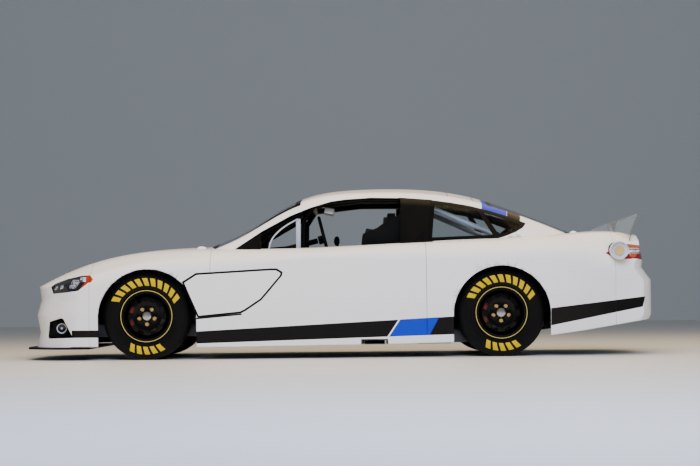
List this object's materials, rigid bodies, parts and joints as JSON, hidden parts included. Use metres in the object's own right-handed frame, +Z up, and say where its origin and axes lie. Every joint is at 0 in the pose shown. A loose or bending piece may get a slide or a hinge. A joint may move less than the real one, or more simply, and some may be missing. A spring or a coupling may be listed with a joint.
{
  "type": "stock car",
  "caption": "Full-size closed-cockpit oval-racing stock car with tube cage, hinged hood and deck lid, steered front wheels and rolling slick tyres.",
  "frame": {"origin": "on the ground under the middle of the car's bounding box", "axes": "+Z up, nose towards -X, left (driver's) side towards -Y"},
  "size_m": [5.064, 1.945, 1.3782],
  "materials": {
    "body_white": "gloss pearl white paint",
    "trim_black": "matte black moulded",
    "lamp_clear": "clear coated lamp face",
    "window": "clear polycarbonate",
    "tyre_rubber": "matte rubber",
    "wheel_black": "gloss black enamel",
    "disc_iron": "turned iron",
    "knuckle_steel": "dark painted steel",
    "chassis_grey": "grey enamel",
    "cage_grey": "light grey enamel",
    "engine_grey": "cast iron",
    "bare_steel": "bare steel tube",
    "aluminium": "brushed aluminium",
    "seat_black": "black padded shell",
    "spoiler_clear": "pale clear sheet",
    "filler_gold": "gold plated"
  },
  "bodies": {
    "root": {"cage": "cage_grey", "chassis": "chassis_grey", "cowl_panels": "body_white", "dash": "trim_black", "door_left": "body_white", "door_right": "body_white", "engine": "engine_grey", "exhaust": "bare_steel", "fender_left": "body_white", "fender_right": "body_white", "flap_trays": "trim_black", "floor": "chassis_grey", "front_suspension": "knuckle_steel", "fuel_cell": "trim_black", "fuel_filler": "filler_gold", "gearbox_shaft": "aluminium", "grille": "trim_black", "lamp_ducts": "trim_black", "lamps": "lamp_clear", "nose": "body_white", "quarter_left": "body_white", "quarter_right": "body_white", "quarter_windows": "window", "radiator": "aluminium", "rear_axle": "knuckle_steel", "rear_bumper": "body_white", "rear_window": "window", "roof_shell": "body_white", "seat": "seat_black", "skirts": "body_white", "splitter": "trim_black", "steering_column": "bare_steel", "vent_plates": "body_white", "wheel_tubs": "trim_black", "windshield": "window"},
    "hood": {"hood": "body_white"},
    "decklid": {"decklid": "body_white", "spoiler": "spoiler_clear"},
    "roof_flap_left": {"roof_flap_left": "body_white"},
    "roof_flap_right": {"roof_flap_right": "body_white"},
    "knuckle_left": {"knuckle_left": "knuckle_steel"},
    "knuckle_right": {"knuckle_right": "knuckle_steel"},
    "steering_rod": {"steering_rod": "bare_steel"},
    "steering_wheel": {"steering_wheel": "trim_black"},
    "wheel_front_left": {"brake_disc_front_left": "disc_iron", "rim_front_left": "wheel_black", "tyre_front_left": "tyre_rubber"},
    "wheel_front_right": {"brake_disc_front_right": "disc_iron", "rim_front_right": "wheel_black", "tyre_front_right": "tyre_rubber"},
    "wheel_rear_left": {"brake_disc_rear_left": "disc_iron", "rim_rear_left": "wheel_black", "tyre_rear_left": "tyre_rubber"},
    "wheel_rear_right": {"brake_disc_rear_right": "disc_iron", "rim_rear_right": "wheel_black", "tyre_rear_right": "tyre_rubber"}
  },
  "joints": [
    {"name": "roll_front_left", "type": "hinge", "parent": "knuckle_left", "child": "wheel_front_left", "pos_m": [-1.505, -0.775, 0.344], "axis": [0, 1, 0], "continuous": true},
    {"name": "roll_front_right", "type": "hinge", "parent": "knuckle_right", "child": "wheel_front_right", "pos_m": [-1.505, 0.775, 0.344], "axis": [0, 1, 0], "continuous": true},
    {"name": "roll_rear_left", "type": "hinge", "parent": "root", "child": "wheel_rear_left", "pos_m": [1.289, -0.775, 0.344], "axis": [0, 1, 0], "continuous": true},
    {"name": "roll_rear_right", "type": "hinge", "parent": "root", "child": "wheel_rear_right", "pos_m": [1.289, 0.775, 0.344], "axis": [0, 1, 0], "continuous": true},
    {"name": "steer_left", "type": "hinge", "parent": "root", "child": "knuckle_left", "pos_m": [-1.505, -0.7, 0.344], "axis": [0, 0, 1], "range_deg": [-20, 20]},
    {"name": "steer_right", "type": "hinge", "parent": "root", "child": "knuckle_right", "pos_m": [-1.505, 0.7, 0.344], "axis": [0, 0, 1], "range_deg": [-20, 20]},
    {"name": "steer_rod", "type": "slide", "parent": "root", "child": "steering_rod", "axis": [0, 1, 0], "range_m": [-0.045, 0.045]},
    {"name": "steer_hand", "type": "hinge", "parent": "root", "child": "steering_wheel", "pos_m": [-0.105, -0.4, 0.955], "axis": [-0.9703, 0, -0.2419], "range_deg": [-240, 240]},
    {"name": "hood_hinge", "type": "hinge", "parent": "root", "child": "hood", "pos_m": [-1.0575, 0, 0.914], "axis": [0, 1, 0], "range_deg": [0, 55]},
    {"name": "decklid_hinge", "type": "hinge", "parent": "root", "child": "decklid", "pos_m": [1.9475, 0, 1.021], "axis": [0, -1, 0], "range_deg": [0, 50]},
    {"name": "roof_flap_hinge_left", "type": "hinge", "parent": "root", "child": "roof_flap_left", "pos_m": [0.9025, -0.3, 1.346], "axis": [0, -1, 0], "range_deg": [0, 60]},
    {"name": "roof_flap_hinge_right", "type": "hinge", "parent": "root", "child": "roof_flap_right", "pos_m": [0.9025, 0.3, 1.346], "axis": [0, -1, 0], "range_deg": [0, 60]}
  ],
  "couplings": [
    {"joint": "steer_right", "follows": "steer_left", "ratio": 1},
    {"joint": "steer_rod", "follows": "steer_left", "m_per_rad": -0.12},
    {"joint": "steer_hand", "follows": "steer_left", "ratio": -12}
  ]
}
